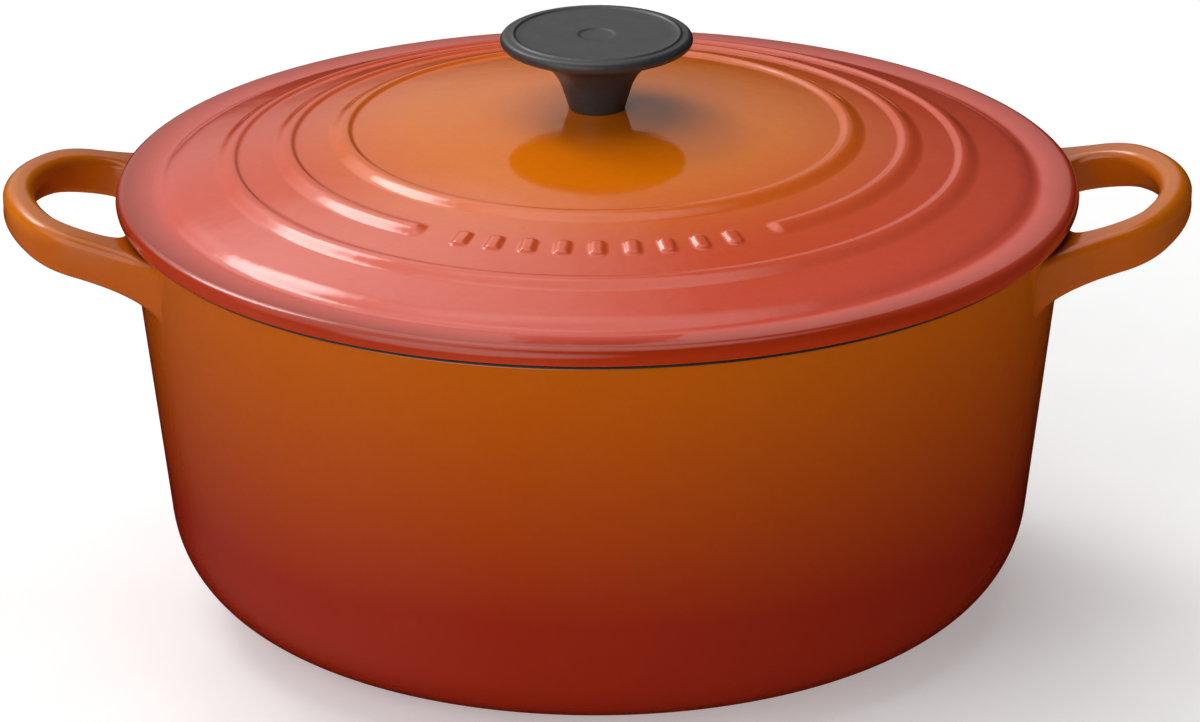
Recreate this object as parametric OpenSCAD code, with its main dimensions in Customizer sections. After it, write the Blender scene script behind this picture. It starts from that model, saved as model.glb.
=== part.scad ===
// Round cast iron dutch oven with two loop handles, a domed lid and a screwed-on knob.
// Millimetres, +Z up, origin at the centre of the base, handles along X.

/* [Pot] */
// Height of the pot's rim above the surface it stands on
pot_h = 124; // [115:1:140]
// Outside radius of the pot at its rim
pot_r = 139; // [136:0.5:141]
// Lean of the wall from upright, narrowing towards the base
wall_lean = 6.8; // [4:0.1:8]
// Thickness of the wall
wall_t = 4.5; // [4:0.1:5.5]
// Thickness of the base
base_t = 5; // [4.5:0.1:6]
// Height at which the wall starts to turn into the base
corner_h = 31.5; // [25:0.5:38]
// Radius of the ground flat that the pot stands on
foot_r = 87.5; // [80:0.5:95]
// Fullness of the corner between wall and base
corner_fullness = 0.85; // [0.7:0.01:1]
// Depth of the shallow hollow inside the standing ring
foot_recess = 0.6; // [0.4:0.1:1]

/* [Handles] */
// Distance from the pot's axis to the tip of each handle
handle_reach = 176.5; // [174:0.5:180]
// Radius of the long curve at the handle's tip, to the middle of the bar
tip_bend_r = 49.3; // [46:0.1:54]
// Half of the angle that the tip's curve turns through
tip_bend_half = 32.7; // [30:0.1:36]
// Radius of the tighter curve at each side of the handle
side_bend_r = 21.6; // [19:0.1:24]
// Spread of the two straight arms towards the pot
arm_spread = 13; // [8:0.5:16]
// Upward tilt of the whole handle, away from the pot
handle_tilt = 12.2; // [8:0.1:14]
// Height of the bar's middle at the outermost point of the tip
handle_tip_z = 125.9; // [125:0.1:126.5]
// Width of the bar, seen from above
bar_w = 10.2; // [9:0.1:11]
// Height of the bar
bar_h = 12.6; // [11:0.1:14]
// Radius of the bar's long edges
bar_edge_r = 4.2; // [3:0.1:4.4]
// Lean of the bar's cross-section, its outer side lower
bar_lean = 5; // [0:0.5:8]
// Length over which the bar flares into the pot's wall
root_l = 18; // [14:0.5:20]
// Widening of the bar at the wall, towards the inside of the loop
root_in = 16; // [8:0.5:18]
// Widening of the bar at the wall, towards the outside of the loop
root_out = 9; // [5:0.5:11]
// Deepening of the bar at the wall, downwards
root_down = 5; // [2:0.5:7]

/* [Lid] */
// Outside radius of the lid
lid_r = 142.5; // [142:0.5:144]
// Height of the lid's middle above its lower edge
dome_h = 28.8; // [28:0.1:30]
// Radius of the lid's domed surface
dome_r = 403; // [395:1:420]
// Thickness of the domed plate
lid_t = 4.4; // [4:0.1:5]
// Height of the flange's flat top above the pot's rim
flange_h = 6.1; // [5.8:0.1:6.5]
// Radius of the flange's round outer edge
flange_edge_r = 2.8; // [2.4:0.1:2.9]
// Radius at the outer foot of the step between dome and flange
step_r = 132; // [130:0.5:134]
// Radius of the rounding at the top of the step
step_top_r = 30; // [20:1:40]
// Radius of the hollow at the foot of the step
step_foot_r = 7; // [5:0.5:9]
// Middle radius of the smallest raised ring
ring_r = 75.4; // [73:0.1:77]
// Spacing of the raised rings
ring_pitch = 16.5; // [16:0.1:16.8]
// Width of each raised ring
ring_w = 8; // [6:0.1:8.5]
// Height of each raised ring
ring_h = 1; // [0.7:0.1:1.2]
// Depth of the locating lip that keeps the lid on the pot
lip_h = 3; // [2.5:0.1:4]
// Width of the locating lip
lip_w = 4; // [3.5:0.1:5]
// Gap between the locating lip and the inside of the rim
lip_gap = 1.2; // [0.8:0.1:2]

/* [Lid pads] */
// Number of raised pads in the gap of the middle ring
pad_count = 9; // [5:2:11]
// Angle between two pads
pad_step = 6.2; // [5.6:0.1:6.4]
// Size of a pad along the ring
pad_w = 5.2; // [4.5:0.1:5.8]
// Size of a pad across the ring
pad_l = 8; // [7:0.1:9]
// Height of a pad above the dome
pad_h = 0.8; // [0.6:0.1:1]

/* [Knob] */
// Radius of the knob's disc
knob_r = 28.4; // [27:0.1:30]
// Height of the knob above its seat on the lid
knob_h = 22.7; // [21:0.1:24]
// Thickness of the disc's rounded edge
knob_edge_t = 3.5; // [3:0.1:4]
// Radius of the stem where it meets the lid
stem_r = 8.4; // [7.8:0.1:9]
// Widening of the stem, in degrees from upright
stem_flare = 16; // [12:0.5:18]
// Height of the straight part of the stem
stem_h = 6.2; // [5.5:0.1:7]
// Radius of the hollow curve between stem and disc
neck_r = 15; // [14:0.5:15.5]
// Radius of the fine raised line on top of the disc
line_r = 24.6; // [23:0.1:25]
// Height of that line
line_h = 0.4; // [0.2:0.1:0.5]
// Radius of the shallow dimple in the middle of the disc
dimple_r = 6; // [5:0.5:8]
// Depth of the dimple
dimple_d = 0.35; // [0.2:0.05:0.5]

/* [Knob fixing] */
// Radius of the screw's threaded shank
screw_r = 2.95; // [2.9:0.01:2.98]
// Radial running gap between the screw and the threaded bush
screw_gap = 0.05; // [0.02:0.01:0.09]
// How far the screw reaches up into the bush
screw_grip = 9.5; // [8:0.5:10]
// Radius of the screw's head
head_r = 5.6; // [5.2:0.1:6]
// Height of the screw's head
head_h = 3.4; // [3:0.1:4]
// Outside radius of the washer under the head
washer_r = 8.5; // [7.5:0.1:9]
// Thickness of the washer
washer_t = 1.4; // [1:0.1:1.8]
// Outside radius of the threaded bush moulded into the knob
bush_r = 4.6; // [4.3:0.1:5]
// Length of the threaded bush
bush_h = 11; // [10.5:0.1:12]
// Radius of the hole through the lid
lid_hole_r = 3.4; // [3.3:0.05:3.6]
// Radius of the thickened boss around that hole, under the lid
boss_r = 11; // [10:0.5:13]
// Thickness of the lid at that boss
boss_t = 6.6; // [6:0.1:7.5]

/* [Hidden] */

$fn = 96;
eps = 0.01;
// How far a cutting body runs past what it cuts.
past = 1;

// Pot: rim, standing ring and the number of facets on the corner.
rim_edge_r = 1.4;
foot_w = 7;
foot_chamfer = 1;
floor_r = foot_r - 2;
corner_steps = 14;

// Handles: facets on each bend, and how deep the roots start and end inside the wall.
tip_steps = 5;
side_steps = 5;
root_steps = 6;
edge_steps = 3;
root_sink = 1.5;
root_end = 1;

// Lid: flat seat for the knob, end of the flange's round edge, chamfer and the cone around the boss.
seat_r = 9;
edge_end = -70;
lid_foot_inset = 4.2;
ring_sink = 1;
step_steps = 8;
lip_chamfer = 0.6;
boss_cone_w = 1.5;
under_steps = 9;
pad_corner_r = 2;
pad_depth = 2.5;

// Knob: edges, the arcs of neck and disc, and the fine line and dimple on top.
stem_edge_r = 0.6;
neck_end = 106;
edge_start = -70;
line_foot = 0.7;
line_top = 0.3;
dimple_slope = 1.2;

// Knob fixing: the screw's slot and the groove that holds the bush in the knob.
slot_w = 1.3;
slot_depth = 1.5;
groove_h = 1.6;
groove_d = 0.5;

// The lid's lower edge lies in the plane of the pot's rim.
lid_z = pot_h;
seat_z = lid_z + dome_h;
boss_z = seat_z - boss_t;
washer_z = boss_z - washer_t;
head_z = washer_z - head_h;
// Angle left free in the middle ring for the pads, each side of the front.
ring_gap_half = pad_step * (pad_count + 1.4) / 2;
// Outside radius of the locating lip.
lip_r = pot_r - wall_t - lip_gap;

// Outside radius of the pot's straight wall at a height.
function wall_r(z) = pot_r - (pot_h - z) * tan(wall_lean);

// Points along an arc, from one angle to another.
function arc(cx, cz, r, from, to, steps) = [
    for (i = [0:steps])
        let (a = from + (to - from) * i / steps)
            [cx + r * cos(a), cz + r * sin(a)]
];

// One point of a curve that leaves a towards b and arrives at c; w sets its fullness.
function conic_point(a, b, c, w, t) =
    let (ka = (1 - t) * (1 - t), kb = 2 * w * t * (1 - t), kc = t * t)
        (ka * a + kb * b + kc * c) / (ka + kb + kc);

function conic(a, b, c, w, steps) = [for (i = [0:steps]) conic_point(a, b, c, w, i / steps)];

// Height of the plain dome above the lid's lower edge, t under its top surface.
function dome(r, t = 0) = sqrt((dome_r - t) * (dome_r - t) - r * r) - dome_r + dome_h;

// A smooth rise from 0 to 1 as x goes from 0 to 1.
function rise(x) = let (t = min(max(x, 0), 1)) t * t * (3 - 2 * t);

// Height of a raised ring across its width, x from -1 inside to 1 outside: short rise, long fall.
function bead(x) = rise((x + 1) / 0.65) * rise((1 - x) / 1.2);

// Middle radius of one raised ring.
function ring_mid(i) = ring_r + i * ring_pitch;

// Outline of one raised ring in the lid's radial section, as points on the dome.
function ring_points(i) = [
    for (x = [-1:0.2:1])
        let (r = ring_mid(i) + x * ring_w / 2)
            [r, dome(r) + ring_h * bead(x)]
];

// Plain dome between two radii, with its ends left out.
function dome_points(from, to, steps) = [
    for (k = [1:steps - 1])
        let (r = from + (to - from) * k / steps)
            [r, dome(r)]
];

// Angle from upright, at the dome's centre, at which the step's rounding leaves the dome: the
// rounding touches the dome from inside and the hollow at the step's foot from outside.
function step_start() =
    let (
        up = flange_h + step_foot_r - dome_h + dome_r,
        a = dome_r - step_top_r,
        b = norm([step_r, up]),
        c = step_top_r + step_foot_r
    )
    atan2(step_r, up) - acos((a * a + b * b - c * c) / (2 * a * b));

// The step that takes the dome down to the flange: a rounding, then a hollow.
function step_points() =
    let (
        from = step_start(),
        cx = (dome_r - step_top_r) * sin(from),
        cz = dome_h - dome_r + (dome_r - step_top_r) * cos(from),
        steepest = atan2(step_r - cx, flange_h + step_foot_r - cz)
    )
    concat(
        arc(cx, cz, step_top_r, 90 - from, 90 - steepest, step_steps),
        [for (p = arc(step_r, flange_h + step_foot_r, step_foot_r, 270 - steepest, 270, step_steps))
            if (p[0] > cx + step_top_r * sin(steepest) + eps) p]
    );

// Radial section of the pot's outside, from its axis outwards and up to the rim.
function pot_outside() = concat(
    [[0, foot_recess], [foot_r - foot_w - foot_chamfer, foot_recess], [foot_r - foot_w, 0]],
    conic([foot_r, 0], [wall_r(0), 0], [wall_r(corner_h), corner_h], corner_fullness, corner_steps),
    arc(pot_r - rim_edge_r, pot_h - rim_edge_r, rim_edge_r, 0, 90, 4),
    [[0, pot_h]]
);

// Radial section of the cavity, open past the rim.
function pot_inside() = concat(
    [[0, base_t]],
    conic([floor_r, base_t], [wall_r(base_t) - wall_t, base_t],
        [wall_r(corner_h) - wall_t, corner_h], corner_fullness, corner_steps),
    [
        [pot_r - wall_t, pot_h - rim_edge_r],
        [pot_r - wall_t + rim_edge_r, pot_h],
        [pot_r - wall_t + rim_edge_r, pot_h + eps],
        [0, pot_h + eps]
    ]
);

// Outline of the bar's cross-section: outwards from the loop, then up, as rounded corners.
function bar_outline() = [
    for (corner = [0:3])
        for (p = arc(
            (corner == 0 || corner == 3 ? 1 : -1) * (bar_w / 2 - bar_edge_r),
            (corner < 2 ? 1 : -1) * (bar_h / 2 - bar_edge_r),
            bar_edge_r, corner * 90, corner * 90 + 90, edge_steps
        )) p
];

// A point of the outline, leaned.
function leaned(p) = [
    p[0] * cos(bar_lean) + p[1] * sin(bar_lean),
    p[1] * cos(bar_lean) - p[0] * sin(bar_lean)
];

// Stations along half of the loop: x, y and direction of the outward normal.
function half_loop() =
    let (
        tip_x = handle_reach - bar_w / 2 - tip_bend_r,
        side_x = tip_x + (tip_bend_r - side_bend_r) * cos(tip_bend_half),
        side_y = (tip_bend_r - side_bend_r) * sin(tip_bend_half),
        arm_a = 90 - arm_spread
    )
    concat(
        [for (i = [0:tip_steps - 1]) let (a = tip_bend_half * i / tip_steps)
            [tip_x + tip_bend_r * cos(a), tip_bend_r * sin(a), a]],
        [for (i = [0:side_steps]) let (a = tip_bend_half + (arm_a - tip_bend_half) * i / side_steps)
            [side_x + side_bend_r * cos(a), side_y + side_bend_r * sin(a), a]]
    );

// A flat point of the loop, tilted up towards the tip and set at its height.
function tilted(p) =
    let (x = p[0] - handle_reach, c = cos(handle_tilt), s = sin(handle_tilt))
        [handle_reach + x * c - p[2] * s, p[1], handle_tip_z + x * s + p[2] * c];

// The bar's outline set up at one station.
function ring_at(station) = [
    for (p = bar_outline())
        let (q = leaned(p))
            tilted([station[0] + q[0] * cos(station[2]), station[1] + q[0] * sin(station[2]), q[1]])
];

// Distance from a point, along a direction, to a surface sunk a little into the pot's wall.
function to_wall(p, dir, found = 0, turns = 12) =
    let (at = p + found * dir, gap = norm([at[0], at[1]]) - wall_r(at[2]) + root_sink)
        turns == 0 ? found : to_wall(p, dir, found + gap, turns - 1);

// A point of the flared root: t runs from 0 on the arm to 1 at the wall.
function root_point(start, dir, p, t) =
    let (
        gap = to_wall(start, dir),
        on_line = start + (gap - min(root_l, gap) * (1 - t) * (1 - t)) * dir,
        r = norm([on_line[0], on_line[1]]),
        side = p[0] / (bar_w / 2) * (p[0] < 0 ? root_in : root_out) * t * t,
        drop = p[1] < 0 ? p[1] / (bar_h / 2) * root_down * t * t : 0,
        turned = atan2(on_line[1], on_line[0]) + side / r * 180 / PI,
        out = r + drop * tan(wall_lean)
    )
    [out * cos(turned), out * sin(turned), on_line[2] + drop];

// Rings that carry the arm on into the wall, and one more inside it.
function root_rings(last) =
    let (
        outline = bar_outline(),
        arm_a = 90 - arm_spread,
        flat = [-sin(arm_a), cos(arm_a), 0],
        dir = tilted(flat + [handle_reach, 0, 0]) - [handle_reach, 0, handle_tip_z],
        ends = [for (k = [0:len(last) - 1]) root_point(last[k], dir, outline[k], 1)]
    )
    concat(
        [for (i = [1:root_steps]) [
            for (k = [0:len(last) - 1]) root_point(last[k], dir, outline[k], i / root_steps)
        ]],
        [[for (p = ends) let (k = 1 - root_end / norm([p[0], p[1]])) [k * p[0], k * p[1], p[2]]]]
    );

// All rings of the loop, from the root on the -Y side to the one on the +Y side.
function whole_loop() =
    let (
        bend = [for (station = half_loop()) ring_at(station)],
        half = concat(bend, root_rings(bend[len(bend) - 1])),
        n = len(half)
    )
    concat(
        [for (i = [n - 1:-1:1]) [for (p = half[i]) [p[0], -p[1], p[2]]]],
        half
    );

// One handle in place on the +X side.
module loop_handle() {
    loop = whole_loop();
    rings = len(loop);
    sides = len(loop[0]);
    faces = concat(
        [[for (k = [sides - 1:-1:0]) k]],
        [[for (k = [0:sides - 1]) (rings - 1) * sides + k]],
        [
            for (i = [0:rings - 2])
                for (k = [0:sides - 1])
                    let (next = (k + 1) % sides)
                        [i * sides + k, i * sides + next, (i + 1) * sides + next, (i + 1) * sides + k]
        ]
    );
    polyhedron(points = [for (ring = loop) each ring], faces = faces, convexity = 4);
}

module pot() {
    color([0.86, 0.36, 0.06])
        difference() {
            union() {
                rotate_extrude() polygon(pot_outside());
                loop_handle();
                rotate([0, 0, 180]) loop_handle();
            }
            rotate_extrude() polygon(pot_inside());
        }
}

// Radial section of the lid, filled in over the hole and without its middle ring and pads.
function lid_section() = concat(
    [[0, dome_h], [seat_r, dome_h]],
    dome_points(seat_r, ring_mid(0) - ring_w / 2, 8),
    ring_points(0),
    dome_points(ring_mid(0) + ring_w / 2, ring_mid(2) - ring_w / 2, 5),
    ring_points(2),
    dome_points(ring_mid(2) + ring_w / 2, dome_r * sin(step_start()), 3),
    step_points(),
    arc(lid_r - flange_edge_r, flange_h - flange_edge_r, flange_edge_r, 90, edge_end, 12),
    [[lid_r - lid_foot_inset, 0]],
    lip_points(),
    under_points(),
    [[boss_r, dome_h - boss_t], [0, dome_h - boss_t]]
);

// The locating lip, inside the pot's rim.
function lip_points() = [
    [lip_r, 0],
    [lip_r, lip_chamfer - lip_h],
    [lip_r - lip_chamfer, -lip_h],
    [lip_r - lip_w + lip_chamfer, -lip_h],
    [lip_r - lip_w, dome(lip_r - lip_w, lid_t)]
];

// The dome's underside, from the lip inwards to the boss.
function under_points() = [
    for (k = [under_steps - 1:-1:0])
        let (
            from = boss_r + boss_cone_w,
            r = from + (lip_r - lip_w - from) * k / under_steps
        )
            [r, dome(r, lid_t)]
];

// The middle ring, left open at the front for the pads.
module middle_ring() {
    inner = ring_mid(1) - ring_w / 2;
    outer = ring_mid(1) + ring_w / 2;
    rotate([0, 0, -90 + ring_gap_half])
        rotate_extrude(angle = 360 - 2 * ring_gap_half)
            polygon(concat(
                ring_points(1),
                [[outer, dome(outer) - ring_sink], [inner, dome(inner) - ring_sink]]
            ));
}

// Outline of one pad with rounded corners.
module pad_outline() {
    square([pad_l - 2 * pad_corner_r, pad_w], center = true);
    square([pad_l, pad_w - 2 * pad_corner_r], center = true);
    for (sx = [-1, 1])
        for (sy = [-1, 1])
            translate([sx * (pad_l / 2 - pad_corner_r), sy * (pad_w / 2 - pad_corner_r)])
                circle(r = pad_corner_r);
}

// A row of plain raised pads in the gap of the middle ring.
module pads() {
    intersection() {
        translate([0, 0, dome_h - dome_r]) sphere(r = dome_r + pad_h, $fn = 400);
        for (k = [0:pad_count - 1])
            rotate([0, 0, -90 + (k - (pad_count - 1) / 2) * pad_step])
                translate([ring_mid(1), 0, dome(ring_mid(1)) - pad_depth])
                    linear_extrude(height = 2 * pad_depth + pad_h) pad_outline();
    }
}

module lid() {
    color([0.85, 0.27, 0.16])
        translate([0, 0, lid_z])
            difference() {
                union() {
                    rotate_extrude() polygon(lid_section());
                    middle_ring();
                    pads();
                }
                translate([0, 0, dome_h - boss_t - past])
                    cylinder(r = lid_hole_r, h = boss_t + 2 * past);
            }
}

// Radial section of the knob, its seat at zero height.
function knob_section() =
    let (
        edge_r = knob_edge_t / 2,
        edge_z = knob_h - edge_r,
        neck_x = stem_r + stem_h * tan(stem_flare),
        cx = neck_x + neck_r * cos(stem_flare),
        cz = stem_h - neck_r * sin(stem_flare)
    )
    concat(
        [[0, 0], [stem_r - stem_edge_r, 0], [stem_r, stem_edge_r]],
        arc(cx, cz, neck_r, 180 - stem_flare, neck_end, 12),
        arc(knob_r - edge_r, edge_z, edge_r, edge_start, 90, 10),
        [
            [line_r + line_foot, knob_h],
            [line_r + line_top, knob_h + line_h],
            [line_r - line_top, knob_h + line_h],
            [line_r - line_foot, knob_h],
            [dimple_r, knob_h],
            [dimple_r - dimple_slope, knob_h - dimple_d],
            [0, knob_h - dimple_d]
        ]
    );

module knob() {
    color([0.1, 0.1, 0.11])
        translate([0, 0, seat_z])
            difference() {
                rotate_extrude() polygon(knob_section());
                bush_blank(eps);
            }
}

// The bush without its bore: a cylinder with a groove around it, started a little early if asked.
module bush_blank(early = 0) {
    groove_z = (bush_h - groove_h) / 2;
    rotate_extrude()
        polygon([
            [0, -early],
            [bush_r, -early],
            [bush_r, groove_z],
            [bush_r - groove_d, groove_z],
            [bush_r - groove_d, groove_z + groove_h],
            [bush_r, groove_z + groove_h],
            [bush_r, bush_h],
            [0, bush_h]
        ]);
}

// Metal bush with a groove that the knob's moulding grips.
module knob_bush() {
    color([0.78, 0.62, 0.3])
        translate([0, 0, seat_z])
            difference() {
                bush_blank();
                translate([0, 0, -eps]) cylinder(r = screw_r + screw_gap, h = bush_h + 2 * eps);
            }
}

module knob_screw() {
    color([0.75, 0.76, 0.78])
        difference() {
            union() {
                translate([0, 0, head_z]) cylinder(r = head_r, h = head_h);
                translate([0, 0, washer_z - eps])
                    cylinder(r = screw_r, h = washer_t + boss_t + screw_grip + eps);
            }
            translate([-head_r - past, -slot_w / 2, head_z - past])
                cube([2 * (head_r + past), slot_w, slot_depth + past]);
        }
}

module screw_washer() {
    color([0.7, 0.71, 0.73])
        translate([0, 0, washer_z])
            difference() {
                cylinder(r = washer_r, h = washer_t);
                translate([0, 0, -past]) cylinder(r = screw_r + screw_gap, h = washer_t + 2 * past);
            }
}

pot();
lid();
knob();
knob_bush();
knob_screw();
screw_washer();
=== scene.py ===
"""Round enamelled cast iron dutch oven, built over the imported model.

Every shape is worked out in millimetres, in the model's own frame, and turned into metres as it
becomes a mesh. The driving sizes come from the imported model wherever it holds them.
"""
import math

import bpy
import numpy as np
from mathutils import Euler, Matrix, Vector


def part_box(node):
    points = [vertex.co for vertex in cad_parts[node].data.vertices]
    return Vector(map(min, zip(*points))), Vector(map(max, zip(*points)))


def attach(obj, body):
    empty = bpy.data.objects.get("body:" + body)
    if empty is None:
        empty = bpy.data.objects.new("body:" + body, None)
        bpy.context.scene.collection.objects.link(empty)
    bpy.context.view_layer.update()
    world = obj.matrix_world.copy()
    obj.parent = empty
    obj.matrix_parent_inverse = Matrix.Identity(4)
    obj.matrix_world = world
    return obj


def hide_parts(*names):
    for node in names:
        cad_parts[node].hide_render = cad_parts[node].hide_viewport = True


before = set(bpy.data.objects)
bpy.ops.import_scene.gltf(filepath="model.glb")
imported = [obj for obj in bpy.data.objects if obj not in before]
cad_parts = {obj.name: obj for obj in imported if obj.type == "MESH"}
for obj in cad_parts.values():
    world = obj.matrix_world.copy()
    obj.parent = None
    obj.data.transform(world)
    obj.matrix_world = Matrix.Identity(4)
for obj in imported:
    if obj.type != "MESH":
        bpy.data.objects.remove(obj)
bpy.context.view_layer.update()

MM = 0.001


def node_box(node):
    """Lowest and highest corner of a CAD node, in millimetres."""
    low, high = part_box(node)
    return np.array(low) / MM, np.array(high) / MM


POT_LOW, POT_HIGH = node_box("pot")
LID_LOW, LID_HIGH = node_box("lid")
KNOB_LOW, KNOB_HIGH = node_box("knob")
WASHER_LOW, WASHER_HIGH = node_box("screw_washer")
SCREW_LOW, SCREW_HIGH = node_box("knob_screw")
BUSH_LOW, BUSH_HIGH = node_box("knob_bush")

# Pot
POT_R = POT_HIGH[1]
WALL_LEAN = math.radians(6.8)
WALL_T = 4.5
BASE_T = 5.0
CORNER_H = 31.5
CORNER_FULLNESS = 0.85
FOOT_R = 87.5
FOOT_RECESS = 0.6
FOOT_SLOPE_IN = 8.0
FOOT_FLAT_IN = 5.6
RIM_EDGE_R = 1.5

# Handles
HANDLE_REACH = POT_HIGH[0] - 0.35
BAR_W = 10.2
BAR_TOP = 6.1
BAR_UNDER_INNER = 5.4
BAR_UNDER_OUTER = 6.5
BAR_LEAN_W = 0.9
TIP_EDGE_R = 4.4
ARM_EDGE_R = 2.6
TIP_BEND_R = 49.3
TIP_BEND_HALF = math.radians(32.7)
SIDE_BEND_R = 21.6
ARM_SPREAD = math.radians(13)
HANDLE_TILT = math.radians(12.2)
HANDLE_TIP_DZ = 2.0
ROOT_L = 30.0
ROOT_IN = 28.0
ROOT_OUT = 10.0
ROOT_DOWN = 7.0
ROOT_SINK = 0.06

# Lid
LIP_H = 3.0
LID_R = LID_HIGH[0]
RIM_Z = LID_LOW[2] + LIP_H
DOME_H = LID_HIGH[2] - RIM_Z
DOME_R = 403.0
LID_T = 4.4
FLANGE_H = 6.1
FLANGE_EDGE_R = 3.0
STEP_R = 132.0
STEP_TOP_R = 20.0
STEP_FOOT_R = 7.0
RING_R = 75.6
RING_PITCH = 16.9
RING_W = 7.8
RING_H = 1.05
LIP_W = 4.0
LIP_GAP = 1.2
SEAT_R = 9.0
HOLE_R = 3.4
BOSS_R = 11.0
BOSS_T = 6.6

# Pads in the gap of the middle ring
PAD_COUNT = 9
PAD_STEP = math.radians(6.2)
PAD_W = 5.2
PAD_L = 8.0
PAD_H = 0.8
PAD_CORNER_R = 2.0
PAD_EDGE = 1.3
RING_GAP_HALF = PAD_STEP * (PAD_COUNT + 1.4) / 2

# Knob and its fixing
KNOB_R = KNOB_HIGH[0]
SEAT_Z = KNOB_LOW[2]
KNOB_H = KNOB_HIGH[2] - SEAT_Z - 0.35
KNOB_EDGE_T = 3.5
STEM_R = 8.4
STEM_FLARE = math.radians(16)
STEM_H = 6.2
NECK_R = 15.0
LINE_R = 24.6
LINE_H = 0.4
DIMPLE_R = 6.0
DIMPLE_D = 0.35
HEAD_R = SCREW_HIGH[0]
SLOT_W = 1.3
SLOT_DEPTH = 1.5
BORE_R = 3.0
SCREW_GAP = 0.05
PLAIN_SHANK = 3.0
THREAD_PITCH = 1.0
THREAD_DEPTH = 0.55


# ---------------------------------------------------------------- outlines

def arc(cx, cz, r, start, end, steps):
    """Points on an arc, angles in degrees."""
    angles = np.radians(np.linspace(start, end, steps + 1))
    return [(cx + r * math.cos(a), cz + r * math.sin(a)) for a in angles]


def conic(a, b, c, fullness, steps):
    """Points on a conic that leaves a towards b and arrives at c."""
    t = np.linspace(0, 1, steps + 1)[:, None]
    weights = np.hstack([(1 - t) ** 2, 2 * fullness * t * (1 - t), t ** 2])
    points = weights @ np.array([a, b, c]) / weights.sum(1, keepdims=True)
    return [tuple(p) for p in points]


def line(a, b, steps):
    """Points along a straight line, without its two ends."""
    return [
        (a[0] + (b[0] - a[0]) * k / steps, a[1] + (b[1] - a[1]) * k / steps)
        for k in range(1, steps)
    ]


def smooth(x):
    """A smooth rise from 0 to 1 as x goes from 0 to 1."""
    t = np.clip(x, 0, 1)
    return t * t * (3 - 2 * t)


def wall_radius(z):
    """Outside radius of the pot's straight wall at a height."""
    return POT_R - (RIM_Z - z) * math.tan(WALL_LEAN)


def dome(r, depth=0.0):
    """Height of the lid's dome over its lower edge, or of a surface at a depth below it."""
    return np.sqrt((DOME_R - depth) ** 2 - np.square(r)) - DOME_R + DOME_H


# ---------------------------------------------------------------- mesh making

def add_mesh(name, vertices, faces, face_slots=None):
    """A smooth-shaded object from vertices in millimetres."""
    mesh = bpy.data.meshes.new(name)
    mesh.from_pydata([tuple(np.array(v) * MM) for v in vertices], [], faces)
    mesh.polygons.foreach_set("use_smooth", [True] * len(mesh.polygons))
    if face_slots is not None:
        for _ in range(max(face_slots) + 1):
            mesh.materials.append(None)
        mesh.polygons.foreach_set("material_index", face_slots)
    mesh.validate()
    mesh.update()
    obj = bpy.data.objects.new(name, mesh)
    bpy.context.scene.collection.objects.link(obj)
    return obj


def ring_faces(rows, columns):
    """Quads between neighbouring rows of vertices, each row a closed ring of columns."""
    faces = []
    for i in range(rows - 1):
        here = i * columns
        there = here + columns
        for j in range(columns):
            k = (j + 1) % columns
            faces.append((here + j, here + k, there + k, there + j))
    return faces


def revolve(name, profile, angles, relief=None, swell=None, slots=None, closed=False):
    """A surface of revolution about Z. The profile runs so that the solid lies on its left.

    relief(index, r, angles) adds height to one point of the profile, swell(z, angles) adds radius.
    """
    columns = len(angles)
    cos_a, sin_a = np.cos(angles), np.sin(angles)
    vertices = []
    rows = []
    for index, (r, z) in enumerate(profile):
        if r < 1e-6:
            rows.append([len(vertices)] * columns)
            vertices.append((0, 0, z))
            continue
        lift = relief(index, r, angles) if relief else np.zeros(columns)
        radius = r + swell(z, angles) if swell else r
        rows.append(list(range(len(vertices), len(vertices) + columns)))
        vertices += list(zip(radius * cos_a, radius * sin_a, z + lift))
    faces = []
    face_slots = []
    pairs = [(i, i + 1) for i in range(len(rows) - 1)]
    if closed:
        pairs.append((len(rows) - 1, 0))
    for a, b in pairs:
        for j in range(columns):
            k = (j + 1) % columns
            corners = [rows[a][j], rows[a][k], rows[b][k], rows[b][j]]
            faces.append(tuple(dict.fromkeys(corners)))
            face_slots.append(slots[a] if slots else 0)
    return add_mesh(name, vertices, faces, face_slots if slots else None)


def even_angles(count):
    """Angles of a full turn in equal steps."""
    return np.linspace(0, 2 * math.pi, count, endpoint=False)


# ---------------------------------------------------------------- pot

OUTSIDE, RIM, INSIDE = 0, 1, 2


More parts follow.
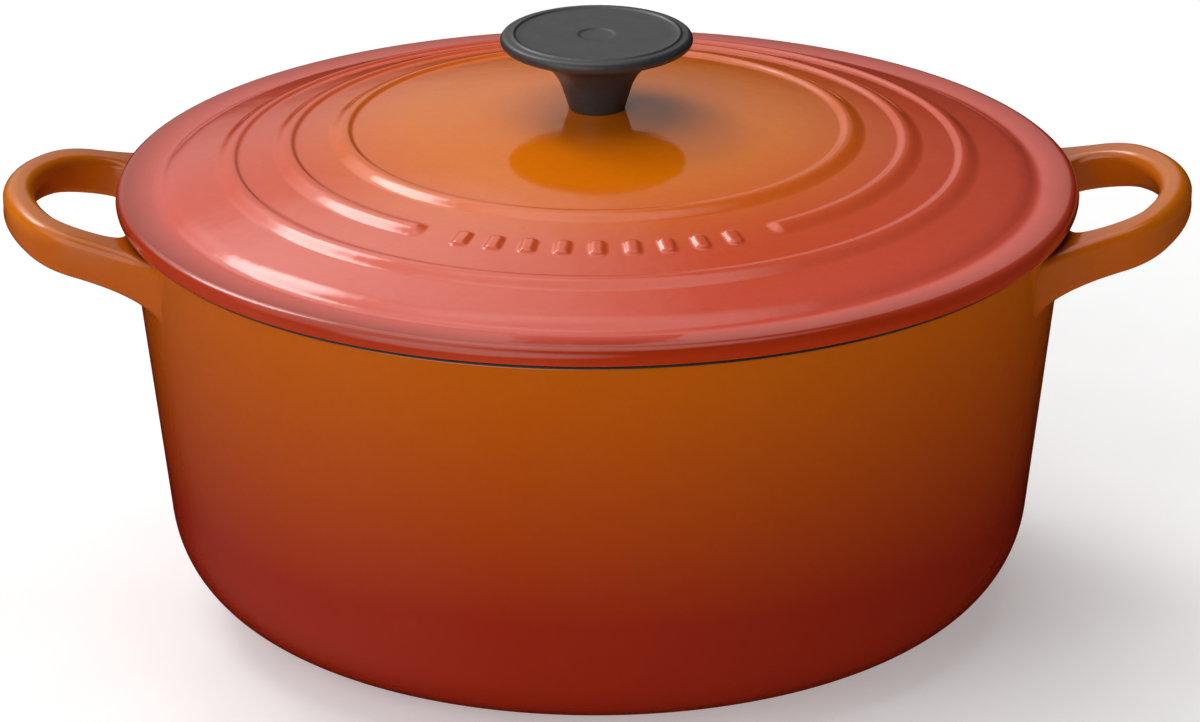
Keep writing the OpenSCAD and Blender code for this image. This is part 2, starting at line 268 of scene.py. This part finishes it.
def pot_profile():
    """Radial section of the pot and, for each point, the slot of the band that starts there."""
    inner_r = POT_R - WALL_T
    parts = [
        (OUTSIDE, [(0, FOOT_RECESS)]),
        (OUTSIDE, line((0, FOOT_RECESS), (FOOT_R - FOOT_SLOPE_IN, FOOT_RECESS), 6)),
        (OUTSIDE, arc(FOOT_R - FOOT_SLOPE_IN, FOOT_RECESS - 2, 2, 90, 60, 3)),
        (OUTSIDE, arc(FOOT_R - FOOT_FLAT_IN, 1, 1, 240, 270, 3)),
        (OUTSIDE, conic(
            (FOOT_R, 0),
            (wall_radius(0), 0),
            (wall_radius(CORNER_H), CORNER_H), CORNER_FULLNESS, 40)),
        (OUTSIDE, line((wall_radius(CORNER_H), CORNER_H), (POT_R, RIM_Z - RIM_EDGE_R), 24)),
        (OUTSIDE, arc(POT_R - RIM_EDGE_R, RIM_Z - RIM_EDGE_R, RIM_EDGE_R, 0, 10, 2)),
        (RIM, arc(POT_R - RIM_EDGE_R, RIM_Z - RIM_EDGE_R, RIM_EDGE_R, 15, 90, 6)),
        (RIM, arc(inner_r + RIM_EDGE_R, RIM_Z - RIM_EDGE_R, RIM_EDGE_R, 90, 120, 3)),
        (INSIDE, arc(inner_r + RIM_EDGE_R, RIM_Z - RIM_EDGE_R, RIM_EDGE_R, 130, 180, 5)),
        (INSIDE, line((inner_r, RIM_Z - RIM_EDGE_R), (wall_radius(CORNER_H) - WALL_T, CORNER_H), 24)),
        (INSIDE, conic(
            (wall_radius(CORNER_H) - WALL_T, CORNER_H),
            (wall_radius(BASE_T) - WALL_T, BASE_T),
            (FOOT_R - 2, BASE_T), CORNER_FULLNESS, 40)),
        (INSIDE, line((FOOT_R - 2, BASE_T), (0, BASE_T), 8)),
        (INSIDE, [(0, BASE_T)]),
    ]
    points = [p for _, part in parts for p in part]
    slots = [slot for slot, part in parts for _ in part]
    return points, slots


def bar_outline(edge_r):
    """Cross-section of the handle's bar: outwards, then up, as rounded corners of an uneven box."""
    half_w = BAR_W / 2
    corners = [
        (half_w, BAR_TOP - 0.2, 0),
        (-half_w, BAR_TOP, 90),
        (-half_w, -BAR_UNDER_INNER, 180),
        (half_w - BAR_LEAN_W, -BAR_UNDER_OUTER, 270),
    ]
    points = []
    for u, v, start in corners:
        cu = u - math.copysign(edge_r, u)
        cv = v - math.copysign(edge_r, v)
        points += arc(cu, cv, edge_r, start, start + 90, 10)
    return np.array(points)


def half_loop():
    """Stations along half of the handle: x, y and the direction of the outward normal."""
    tip_x = HANDLE_REACH - BAR_W / 2 - TIP_BEND_R
    side_x = tip_x + (TIP_BEND_R - SIDE_BEND_R) * math.cos(TIP_BEND_HALF)
    side_y = (TIP_BEND_R - SIDE_BEND_R) * math.sin(TIP_BEND_HALF)
    arm_a = math.pi / 2 - ARM_SPREAD
    stations = []
    for a in np.linspace(0, TIP_BEND_HALF, 15)[:-1]:
        stations.append((tip_x + TIP_BEND_R * math.cos(a), TIP_BEND_R * math.sin(a), a))
    for a in np.linspace(TIP_BEND_HALF, arm_a, 15):
        stations.append((side_x + SIDE_BEND_R * math.cos(a), side_y + SIDE_BEND_R * math.sin(a), a))
    return stations


def bar_section(angle):
    """The bar is a little slimmer and rounder at the handle's tip than at its sides."""
    side = smooth(angle / math.radians(70))
    return bar_outline(TIP_EDGE_R + (ARM_EDGE_R - TIP_EDGE_R) * side) * (0.95 + 0.09 * side)


def tilt_handle(points):
    """Tilts flat handle points up towards the tip and sets them at their height."""
    c, s = math.cos(HANDLE_TILT), math.sin(HANDLE_TILT)
    x = points[:, 0] - HANDLE_REACH
    z = points[:, 2]
    tip_z = RIM_Z + HANDLE_TIP_DZ
    return np.column_stack([HANDLE_REACH + x * c - z * s, points[:, 1], tip_z + x * s + z * c])


def handle_ring(station):
    """The bar's cross-section set across one station of the loop."""
    x, y, a = station
    flat = bar_section(a)
    return tilt_handle(np.column_stack([
        x + flat[:, 0] * math.cos(a),
        y + flat[:, 0] * math.sin(a),
        flat[:, 1],
    ]))


def wall_gap(points, direction):
    """How far the points are from the pot's wall along a direction."""
    reach = np.zeros(len(points))
    for _ in range(30):
        at = points + reach[:, None] * direction
        reach += np.hypot(at[:, 0], at[:, 1]) - wall_radius(at[:, 2])
    return reach


def root_rings(last, previous, steps=24):
    """Rings that carry an arm on into the wall, flaring so that they meet it tangentially."""
    direction = (last - previous).mean(0)
    direction /= np.linalg.norm(direction)
    gap = wall_gap(last, direction)
    section = bar_section(math.pi / 2)
    u = section[:, 0] / np.abs(section[:, 0]).max()
    v = section[:, 1] / np.abs(section[:, 1]).max()
    sideways = u * np.where(u > 0, ROOT_OUT, ROOT_IN)
    ceiling = RIM_Z - RIM_EDGE_R - 0.2
    hit = last + gap[:, None] * direction
    upwards = np.where(v < 0, v * ROOT_DOWN, np.minimum(ceiling - hit[:, 2], 0))
    length = np.minimum(ROOT_L, gap)
    rings = []
    for t in np.linspace(0, 1, steps + 1)[1:]:
        at = last + (gap - length * (1 - t) ** 2)[:, None] * direction
        lift = upwards * t * t
        r = np.hypot(at[:, 0], at[:, 1])
        angle = np.arctan2(at[:, 1], at[:, 0]) + sideways * t * t / r
        out = r + lift * math.tan(WALL_LEAN) - ROOT_SINK * t ** 8
        rings.append(np.column_stack([out * np.cos(angle), out * np.sin(angle), at[:, 2] + lift]))
    return rings


def handle_mesh_data():
    """Vertices and faces of the handle on the +X side."""
    rings = [handle_ring(s) for s in half_loop()]
    rings += root_rings(rings[-1], rings[-2])
    mirrored = [ring * (1, -1, 1) for ring in rings[:0:-1]]
    whole = mirrored + rings
    return np.vstack(whole), ring_faces(len(whole), len(rings[0]))


def make_pot():
    """The pot's casting and its two handles."""
    profile, slots = pot_profile()
    body = revolve("pot_casting", profile, even_angles(288), slots=slots)
    vertices, faces = handle_mesh_data()
    handles = [
        add_mesh(name, vertices * (turn, turn, 1), faces)
        for name, turn in (("handle_right", 1), ("handle_left", -1))
    ]
    return body, handles


# ---------------------------------------------------------------- lid

UNDER, CONTACT = 1, 2


def bead(x):
    """Height of a raised ring across its width, x from -1 inside to 1 outside: steep, then gentle."""
    return smooth((x + 1) / 0.6) * smooth((1 - x) / 1.15)


def ring_mid(i):
    """Middle radius of one raised ring."""
    return RING_R + i * RING_PITCH


def soft_box(u, v, half_u, half_v, edge):
    """1 inside a box with rounded corners, falling smoothly to 0 across its edge."""
    du = np.maximum(np.abs(u) - (half_u - PAD_CORNER_R), 0)
    dv = np.maximum(np.abs(v) - (half_v - PAD_CORNER_R), 0)
    return smooth((PAD_CORNER_R - np.hypot(du, dv)) / edge)


def lid_relief(r, angles):
    """Height that rings and pads add to the dome."""
    height = np.zeros(len(angles))
    front = (angles + math.pi / 2 + math.pi) % (2 * math.pi) - math.pi
    for i in (0, 2):
        height += RING_H * bead(2 * (r - ring_mid(i)) / RING_W)
    fade = smooth((np.abs(front) - RING_GAP_HALF) / math.radians(2.5))
    height += RING_H * bead(2 * (r - ring_mid(1)) / RING_W) * fade
    for k in range(PAD_COUNT):
        turn = (k - (PAD_COUNT - 1) / 2) * PAD_STEP
        height += PAD_H * soft_box(r * (front - turn), r - ring_mid(1), PAD_W / 2, PAD_L / 2, PAD_EDGE)
    return height


def lid_angles():
    """Fine steps across the pads, coarser ones round the rest of the lid."""
    fine = RING_GAP_HALF + math.radians(4)
    start = -math.pi / 2 - fine
    front = np.linspace(start, start + 2 * fine, 210, endpoint=False)
    rest = np.linspace(start + 2 * fine, start + 2 * math.pi, 240, endpoint=False)
    return np.concatenate([front, rest])


def lid_dome_radii(end):
    """Stations from the seat to the start of the step, close together across each ring."""
    ring_lines = [np.arange(ring_mid(i) - 4.6, ring_mid(i) + 4.7, 0.4) for i in range(3)]
    parts = [np.linspace(SEAT_R + 1, ring_lines[0][0] - 1.5, 20)]
    parts += [ring_lines[0], [(ring_lines[0][-1] + ring_lines[1][0]) / 2]]
    parts += [ring_lines[1], [(ring_lines[1][-1] + ring_lines[2][0]) / 2]]
    parts += [ring_lines[2], np.linspace(ring_lines[2][-1] + 1, end, 5)[:-1]]
    return np.concatenate(parts)


def lid_step():
    """The step from dome to flange: a rounding that touches the dome, then a hollow."""
    up = FLANGE_H + STEP_FOOT_R - DOME_H + DOME_R
    a = DOME_R - STEP_TOP_R
    b = math.hypot(STEP_R, up)
    c = STEP_TOP_R + STEP_FOOT_R
    start = math.atan2(STEP_R, up) - math.acos((a * a + b * b - c * c) / (2 * a * b))
    cx = a * math.sin(start)
    cz = DOME_H - DOME_R + a * math.cos(start)
    steepest = math.degrees(math.atan2(STEP_R - cx, FLANGE_H + STEP_FOOT_R - cz))
    rounding = arc(cx, cz, STEP_TOP_R, 90 - math.degrees(start), 90 - steepest, 14)
    hollow = arc(STEP_R, FLANGE_H + STEP_FOOT_R, STEP_FOOT_R, 270 - steepest, 270, 10)
    return rounding + hollow[1:]


def lid_profile():
    """Radial section of the lid, its slots, and which points carry the relief."""
    lip_outer = POT_R - WALL_T - LIP_GAP
    lip_inner = lip_outer - LIP_W
    edge_x = LID_R - FLANGE_EDGE_R
    edge_z = FLANGE_H - FLANGE_EDGE_R
    step = lid_step()
    top = [(float(r), float(dome(r))) for r in lid_dome_radii(step[0][0])]
    parts = [
        (UNDER, [(HOLE_R, DOME_H - BOSS_T + 0.4), (HOLE_R, DOME_H - 0.4)]),
        (OUTSIDE, [(HOLE_R + 0.4, DOME_H), (SEAT_R - 0.5, DOME_H), (SEAT_R, DOME_H - 0.03)]),
        (OUTSIDE, top),
        (OUTSIDE, step),
        (OUTSIDE, line((STEP_R, FLANGE_H), (edge_x, FLANGE_H), 5)),
        (OUTSIDE, arc(edge_x, edge_z, FLANGE_EDGE_R, 90, -60, 22)),
        (CONTACT, [(edge_x + 0.6, 0.15), (edge_x - 0.4, 0)]),
        (CONTACT, line((edge_x - 0.4, 0), (lip_outer, 0), 4)),
        (UNDER, arc(lip_outer + 0.6, -0.6, 0.6, 100, 180, 3)),
        (UNDER, arc(lip_outer - 1, 1 - LIP_H, 1, 0, -90, 5)),
        (UNDER, arc(lip_inner + 1.5, 1.5 - LIP_H, 1.5, 270, 190, 5)),
        (UNDER, arc(lip_inner - 3, 1.0, 2.6, 0, 70, 5)),
        (UNDER, [(float(r), float(dome(r, LID_T))) for r in np.linspace(lip_inner - 6, BOSS_R + 6, 30)]),
        (UNDER, line((BOSS_R + 4.5, dome(BOSS_R + 4.5, LID_T)), (BOSS_R + 0.5, DOME_H - BOSS_T + 0.3), 4)),
        (UNDER, [(BOSS_R, DOME_H - BOSS_T), (SEAT_R - 1, DOME_H - BOSS_T), (HOLE_R + 0.4, DOME_H - BOSS_T)]),
    ]
    points = [(r, z + RIM_Z) for _, part in parts for r, z in part]
    slots = [slot for slot, part in parts for _ in part]
    first = len(parts[0][1]) + len(parts[1][1])
    return points, slots, range(first, first + len(top))


def make_lid():
    """The lid's casting, its section turned round so that the solid lies on its left."""
    profile, slots, relief_rows = lid_profile()
    profile, slots = profile[::-1], slots[::-1]
    slots = slots[1:] + slots[:1]
    last = len(profile) - 1

    def relief(index, r, angles):
        return lid_relief(r, angles) if last - index in relief_rows else np.zeros(len(angles))

    return revolve("lid_casting", profile, lid_angles(), relief=relief, slots=slots, closed=True)


# ---------------------------------------------------------------- knob and fixing

def knob_profile():
    """Radial section of the knob, from its bush out, up the stem and in across the disc."""
    edge_r = KNOB_EDGE_T / 2
    neck_x = STEM_R + STEM_H * math.tan(STEM_FLARE)
    cx = neck_x + NECK_R * math.cos(STEM_FLARE)
    cz = STEM_H - NECK_R * math.sin(STEM_FLARE)
    flare = math.degrees(STEM_FLARE)
    bush_r = BUSH_HIGH[0]
    bush_h = BUSH_HIGH[2] - BUSH_LOW[2]
    line_wave = [
        (LINE_R + x * 0.9, KNOB_H + LINE_H * float(smooth(1 - abs(x))))
        for x in np.linspace(1, -1, 11)
    ]
    dimple = [
        (DIMPLE_R - x * 1.6, KNOB_H - DIMPLE_D * float(smooth(x)))
        for x in np.linspace(0, 1, 7)
    ]
    points = [(0, bush_h), (bush_r, bush_h), (bush_r, 0.3), (bush_r + 0.3, 0)]
    points += arc(STEM_R - 0.6, 0.6, 0.6, 270, 360, 5)
    points += line((STEM_R, 0.6), (neck_x, STEM_H), 5)
    points += arc(cx, cz, NECK_R, 180 - flare, 106, 24)
    points += arc(KNOB_R - edge_r, KNOB_H - edge_r, edge_r, -70, 90, 20)
    points += line_wave
    points += line((LINE_R - 0.9, KNOB_H), (DIMPLE_R, KNOB_H), 8)
    points += dimple
    points += [(0, KNOB_H - DIMPLE_D)]
    return [(r, z + SEAT_Z) for r, z in points]


def make_knob():
    """The knob's moulding, with a pocket for the bush."""
    return revolve("knob_moulding", knob_profile(), even_angles(160))


def thread(z, angles):
    """How far the thread's surface lies below its crest, at a height and all round."""
    low, high = WASHER_HIGH[2] + PLAIN_SHANK, SCREW_HIGH[2] - 0.6
    phase = (z / THREAD_PITCH - angles / (2 * math.pi)) % 1
    fade = smooth((z - low) / THREAD_PITCH) * smooth((high - z) / THREAD_PITCH)
    return -THREAD_DEPTH * smooth(abs(2 * phase - 1) * 1.2 - 0.1) * fade


def cut_slot(obj):
    """Cuts the screwdriver slot across the head."""
    half_l, half_w = HEAD_R + 1, SLOT_W / 2
    low, high = SCREW_LOW[2] - 1, SCREW_LOW[2] + SLOT_DEPTH
    outline = [(-half_l, -half_w), (half_l, -half_w), (half_l, half_w), (-half_l, half_w)]
    corners = [(x, y, z) for z in (low, high) for x, y in outline]
    sides = [(0, 3, 2, 1), (4, 5, 6, 7), (0, 1, 5, 4), (1, 2, 6, 5), (2, 3, 7, 6), (3, 0, 4, 7)]
    cutter = add_mesh("slot_cutter", corners, sides)
    boolean = obj.modifiers.new("slot", "BOOLEAN")
    boolean.operation = "DIFFERENCE"
    boolean.solver = "EXACT"
    boolean.object = cutter
    shape = bpy.data.meshes.new_from_object(obj.evaluated_get(bpy.context.evaluated_depsgraph_get()))
    obj.modifiers.clear()
    obj.data = shape
    bpy.data.objects.remove(cutter)
    shape.polygons.foreach_set("use_smooth", [True] * len(shape.polygons))
    shape.set_sharp_from_angle(angle=math.radians(40))


def make_screw():
    """Slotted screw, its head down and its thread up through the lid into the knob."""
    bottom, shoulder, top = SCREW_LOW[2], WASHER_LOW[2], SCREW_HIGH[2]
    shank_r = BORE_R - SCREW_GAP
    rise = np.arange(shoulder + 0.5, top - 0.5, THREAD_PITCH / 10)
    profile = [(0, bottom), (HEAD_R * 0.5, bottom + 0.05)]
    profile += arc(HEAD_R - 1, bottom + 1.1, 1, 270, 360, 8)
    profile += arc(HEAD_R - 0.3, shoulder - 0.3, 0.3, 0, 90, 4)
    profile += [(shank_r + 0.3, shoulder), (shank_r, shoulder + 0.3)]
    profile += [(shank_r, float(z)) for z in rise]
    profile += [(shank_r - 0.1, top - 0.5), (shank_r - 0.6, top), (0, top)]
    screw = revolve("screw_turned", profile, even_angles(64), swell=thread)
    cut_slot(screw)
    return screw


def make_washer():
    """A plain washer with rounded edges."""
    low, high = WASHER_LOW[2], WASHER_HIGH[2]
    outer, edge = WASHER_HIGH[0], 0.35
    profile = arc(BORE_R + edge, low + edge, edge, 180, 270, 4)
    profile += arc(outer - edge, low + edge, edge, 270, 360, 4)
    profile += arc(outer - edge, high - edge, edge, 0, 90, 4)
    profile += arc(BORE_R + edge, high - edge, edge, 90, 180, 4)
    return revolve("washer_pressed", profile, even_angles(96), closed=True)


# ---------------------------------------------------------------- materials

class Nodes:
    """A short way to build a node tree."""

    def __init__(self, name):
        self.material = bpy.data.materials.new(name)
        self.material.use_nodes = True
        self.tree = self.material.node_tree
        self.shader = self.tree.nodes["Principled BSDF"]

    def add(self, kind, **settings):
        node = self.tree.nodes.new("ShaderNode" + kind)
        for key, value in settings.items():
            setattr(node, key, value)
        return node

    def link(self, a, b):
        self.tree.links.new(a, b)

    def set(self, **values):
        for key, value in values.items():
            self.shader.inputs[key.replace("_", " ")].default_value = value

    def position(self):
        return self.add("TexCoord").outputs["Object"]

    def noise(self, scale, detail=2.0, roughness=0.5):
        node = self.add("TexNoise")
        node.inputs["Scale"].default_value = scale
        node.inputs["Detail"].default_value = detail
        node.inputs["Roughness"].default_value = roughness
        self.link(self.position(), node.inputs["Vector"])
        return node.outputs["Fac"]

    def map_range(self, value, low, high, to_low=0.0, to_high=1.0):
        node = self.add("MapRange")
        for key, number in (("From Min", low), ("From Max", high), ("To Min", to_low), ("To Max", to_high)):
            node.inputs[key].default_value = number
        self.link(value, node.inputs["Value"])
        return node.outputs["Result"]

    def ramp(self, value, stops):
        node = self.add("ValToRGB")
        ramp = node.color_ramp
        ramp.interpolation = "LINEAR"
        while len(ramp.elements) < len(stops):
            ramp.elements.new(0.5)
        for element, (place, colour) in zip(ramp.elements, stops):
            element.position = place
            element.color = (*colour, 1)
        self.link(value, node.inputs["Fac"])
        return node.outputs["Color"]

    def bump(self, heights):
        """Chains bumps, each (height output, distance in metres)."""
        normal = None
        for height, distance in heights:
            node = self.add("Bump")
            node.inputs["Distance"].default_value = distance
            node.inputs["Strength"].default_value = 1.0
            self.link(height, node.inputs["Height"])
            if normal is not None:
                self.link(normal, node.inputs["Normal"])
            normal = node.outputs["Normal"]
        self.link(normal, self.shader.inputs["Normal"])


def enamel(name, axis_only, colours, roughness=(0.07, 0.11)):
    """Glossy vitreous enamel sprayed in a gradient: along the height, or out from the axis. Some of the
    gradient's colours also carry painted light.
    """
    n = Nodes(name)
    along = n.add("VectorMath", operation="MULTIPLY")
    n.link(n.position(), along.inputs[0])
    along.inputs[1].default_value = (0, 0, 1) if axis_only else (1, 1, 0)
    distance = n.add("VectorMath", operation="LENGTH")
    n.link(along.outputs["Vector"], distance.inputs[0])
    last = colours[-1][0]
    place = n.map_range(distance.outputs["Value"], 0.0, last * MM)
    drift = n.map_range(n.noise(9.0, 2.0), 0.0, 1.0, -0.03, 0.03)
    total = n.add("Math", operation="ADD")
    n.link(place, total.inputs[0])
    n.link(drift, total.inputs[1])
    colour = n.ramp(total.outputs["Value"], [(at / last, shade) for at, shade in colours])
    mottle = n.add("MixRGB", blend_type="MULTIPLY")
    mottle.inputs["Fac"].default_value = 1.0
    n.link(colour, mottle.inputs["Color1"])
    fine = n.ramp(n.noise(420.0, 3.0, 0.6), [(0.3, (0.95, 0.95, 0.95)), (0.7, (1.0, 1.0, 1.0))])
    n.link(fine, mottle.inputs["Color2"])
    n.link(mottle.outputs["Color"], n.shader.inputs["Base Color"])
    n.link(n.map_range(n.noise(60.0, 3.0), 0.3, 0.7, *roughness), n.shader.inputs["Roughness"])
    n.bump([(n.noise(55.0, 1.0), 0.0002), (n.noise(240.0, 1.0), 0.00004)])
    n.set(IOR=1.5)
    return n.material


def sand_enamel():
    """Satin sand-coloured enamel for the insides."""
    n = Nodes("sand_enamel")
    colour = n.ramp(n.noise(900.0, 4.0, 0.7), [(0.3, (0.62, 0.52, 0.38)), (0.7, (0.74, 0.65, 0.50))])
    n.link(colour, n.shader.inputs["Base Color"])
    n.link(n.map_range(n.noise(80.0, 2.0), 0.3, 0.7, 0.18, 0.28), n.shader.inputs["Roughness"])
    n.bump([(n.noise(60.0, 1.0), 0.0002)])
    n.set(IOR=1.5)
    return n.material


def matte_rim():
    """Dull black enamel of the rim and of the lid's seat on it."""
    n = Nodes("matte_rim")
    colour = n.ramp(n.noise(1200.0, 4.0, 0.7), [(0.3, (0.018, 0.014, 0.012)), (0.7, (0.05, 0.04, 0.035))])
    n.link(colour, n.shader.inputs["Base Color"])
    n.link(n.map_range(n.noise(300.0, 3.0), 0.3, 0.7, 0.45, 0.65), n.shader.inputs["Roughness"])
    n.bump([(n.noise(1500.0, 3.0), 0.00003)])
    return n.material


def phenolic():
    """Black phenolic moulding."""
    n = Nodes("phenolic")
    colour = n.ramp(n.noise(700.0, 4.0, 0.7), [(0.3, (0.036, 0.035, 0.036)), (0.7, (0.052, 0.050, 0.052))])
    n.link(colour, n.shader.inputs["Base Color"])
    n.link(n.map_range(n.noise(120.0, 3.0), 0.3, 0.7, 0.34, 0.44), n.shader.inputs["Roughness"])
    n.bump([(n.noise(1800.0, 3.0, 0.7), 0.00002)])
    n.set(IOR=1.5)
    return n.material


def metal(name, dark, light, roughness):
    """Machined metal between two tones, with a range of roughness."""
    n = Nodes(name)
    colour = n.ramp(n.noise(350.0, 4.0, 0.7), [(0.3, dark), (0.7, light)])
    n.link(colour, n.shader.inputs["Base Color"])
    n.link(n.map_range(n.noise(500.0, 4.0), 0.3, 0.7, *roughness), n.shader.inputs["Roughness"])
    n.bump([(n.noise(2500.0, 3.0), 0.00001)])
    n.set(Metallic=1.0)
    return n.material


# Enamel: deep red at the base and orange at the rim of the pot, lighter up the handles, where the lighter
# tops are partly painted light;
# orange in the middle of the lid, coral outside its rings and on the flange, a red with a painted pale sheen
# mixed in, dark red round its edge.
BASE_RED = (0.30, 0.02, 0.007)
WALL_ORANGE = (0.50, 0.10, 0.002)
# Painted light: the handle tops take this lighter orange, which stands partly for the light falling on them.
HANDLE_ORANGE_AND_TOP_LIGHT = (0.90, 0.25, 0.01)
LID_ORANGE = (0.90, 0.20, 0.001)
# Painted sheen: these two coral colours are the lid's red with a pale reflected sheen mixed into the colour.
LID_CORAL_AND_SHEEN = (0.80, 0.11, 0.04)
FLANGE_CORAL_AND_SHEEN = (0.80, 0.11, 0.07)
EDGE_RED = (0.40, 0.03, 0.005)

# Heights up the pot and radii across the lid, in millimetres, between which the colours blend.
POT_COLOURS = [(0, BASE_RED), (40, BASE_RED), (RIM_Z, WALL_ORANGE), (RIM_Z + 11, HANDLE_ORANGE_AND_TOP_LIGHT)]
LID_COLOURS = [
    (0, LID_ORANGE),
    (55, LID_ORANGE),
    (95, LID_CORAL_AND_SHEEN),
    (STEP_R, FLANGE_CORAL_AND_SHEEN),
    (LID_R, EDGE_RED),
]


def finish_object(obj, materials, node, body):
    """Gives a piece its materials and puts it in place of a CAD node."""
    for index, material in enumerate(materials):
        if index < len(obj.data.materials):
            obj.data.materials[index] = material
        else:
            obj.data.materials.append(material)
    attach(obj, body)
    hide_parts(node)


pot_outside = enamel("pot_enamel", True, POT_COLOURS)
handle_outside = enamel("handle_enamel", True, POT_COLOURS, roughness=(0.15, 0.22))
lid_outside = enamel("lid_enamel", False, LID_COLOURS)
sand = sand_enamel()
rim_material = matte_rim()

pot_body, pot_handles = make_pot()
finish_object(pot_body, [pot_outside, rim_material, sand], "pot", "pot")
for pot_handle in pot_handles:
    finish_object(pot_handle, [handle_outside], "pot", "pot")

lid_body = make_lid()
finish_object(lid_body, [lid_outside, sand, rim_material], "lid", "lid")

knob_body = make_knob()
finish_object(knob_body, [phenolic()], "knob", "lid")

screw_steel = metal("screw_steel", (0.50, 0.50, 0.51), (0.62, 0.62, 0.63), (0.22, 0.34))
washer_steel = metal("washer_steel", (0.46, 0.46, 0.47), (0.58, 0.58, 0.59), (0.28, 0.40))
finish_object(make_screw(), [screw_steel], "knob_screw", "screw")
finish_object(make_washer(), [washer_steel], "screw_washer", "washer")

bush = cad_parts["knob_bush"]
bush.data.materials.clear()
bush.data.materials.append(metal("brass", (0.60, 0.43, 0.18), (0.72, 0.54, 0.26), (0.28, 0.42)))


# ---------------------------------------------------------------- stage, light and camera

# The floor's width in metres and the light it gives out itself.
FLOOR_SIZE = 12.0
FLOOR_GLOW = 0.36

# The view: focal length and sensor in millimetres, tilt and roll in radians, place in metres.
LENS = 240
SENSOR_WIDTH = 36
CAMERA_PITCH = math.radians(20.83)
CAMERA_ROLL = -0.0054
CAMERA_PLACE = (0.0005, -2.2320, 0.9218)


def make_floor():
    """Plain pale paper that reflections do not show."""
    bpy.ops.mesh.primitive_grid_add(x_subdivisions=8, y_subdivisions=8, size=FLOOR_SIZE)
    floor = bpy.context.object
    floor.name = "floor"
    n = Nodes("floor_paper")
    colour = n.ramp(n.noise(30.0, 2.0), [(0.3, (0.88, 0.88, 0.88)), (0.7, (0.90, 0.90, 0.90))])
    n.link(colour, n.shader.inputs["Base Color"])
    n.link(colour, n.shader.inputs["Emission Color"])
    n.set(Roughness=0.9, Emission_Strength=FLOOR_GLOW)
    floor.data.materials.append(n.material)
    floor.visible_glossy = False


def direction(azimuth, elevation):
    """Unit vector; azimuth 0 is behind the pot, 90 to its right, 180 towards the camera."""
    a, e = math.radians(azimuth), math.radians(elevation)
    return (math.sin(a) * math.cos(e), math.cos(a) * math.cos(e), math.sin(e))


# Soft round panels of light: azimuth, elevation, radius where it starts to fade, radius where it
# ends (all in degrees), brightness. The table sheen is below the horizon, so only reflections see it.
PANELS = {
    "window": (320, 45, 5, 12, 7.0),
    "window glow": (325, 50, 10, 30, 1.5),
    "overhead": (0, 85, 10, 30, 1.5),
    "back wall": (345, 25, 10, 30, 0.5),
    "left": (250, 45, 10, 35, 1.0),
    "front": (210, 15, 15, 40, 1.8),
    "table sheen": (270, -20, 10, 60, 0.1),
}


def make_world():
    """A plain soft studio: a dark surround with a few soft panels, the brightest behind, to the left."""
    world = bpy.data.worlds.new("studio")
    world.use_nodes = True
    tree = world.node_tree
    background = tree.nodes["Background"]
    background.inputs["Color"].default_value = (1, 1, 1, 1)
    coords = tree.nodes.new("ShaderNodeTexCoord")
    darkness = tree.nodes.new("ShaderNodeValue")
    darkness.outputs["Value"].default_value = 0.0
    total = darkness.outputs["Value"]
    for azimuth, elevation, inner, outer, brightness in PANELS.values():
        facing = tree.nodes.new("ShaderNodeVectorMath")
        facing.operation = "DOT_PRODUCT"
        facing.inputs[1].default_value = direction(azimuth, elevation)
        tree.links.new(coords.outputs["Generated"], facing.inputs[0])
        glow = tree.nodes.new("ShaderNodeMapRange")
        glow.interpolation_type = "SMOOTHSTEP"
        glow.inputs["From Min"].default_value = math.cos(math.radians(outer))
        glow.inputs["From Max"].default_value = math.cos(math.radians(inner))
        glow.inputs["To Max"].default_value = brightness
        tree.links.new(facing.outputs["Value"], glow.inputs["Value"])
        adder = tree.nodes.new("ShaderNodeMath")
        adder.operation = "ADD"
        tree.links.new(total, adder.inputs[0])
        tree.links.new(glow.outputs["Result"], adder.inputs[1])
        total = adder.outputs["Value"]
    tree.links.new(total, background.inputs["Strength"])
    bpy.context.scene.world = world


def make_camera():
    """The photograph's view: a long lens, looking down at the pot."""
    data = bpy.data.cameras.new("camera")
    data.sensor_width = SENSOR_WIDTH
    data.lens = LENS
    data.clip_end = 50
    camera = bpy.data.objects.new("camera", data)
    camera.rotation_mode = "QUATERNION"
    tilt = Euler((math.pi / 2 - CAMERA_PITCH, 0, 0)).to_matrix()
    turn = tilt @ Matrix.Rotation(CAMERA_ROLL, 3, "Z")
    camera.rotation_quaternion = turn.to_quaternion()
    camera.location = CAMERA_PLACE
    bpy.context.scene.collection.objects.link(camera)
    bpy.context.scene.camera = camera


make_floor()
make_world()
make_camera()
bpy.context.scene.view_settings.view_transform = "Standard"
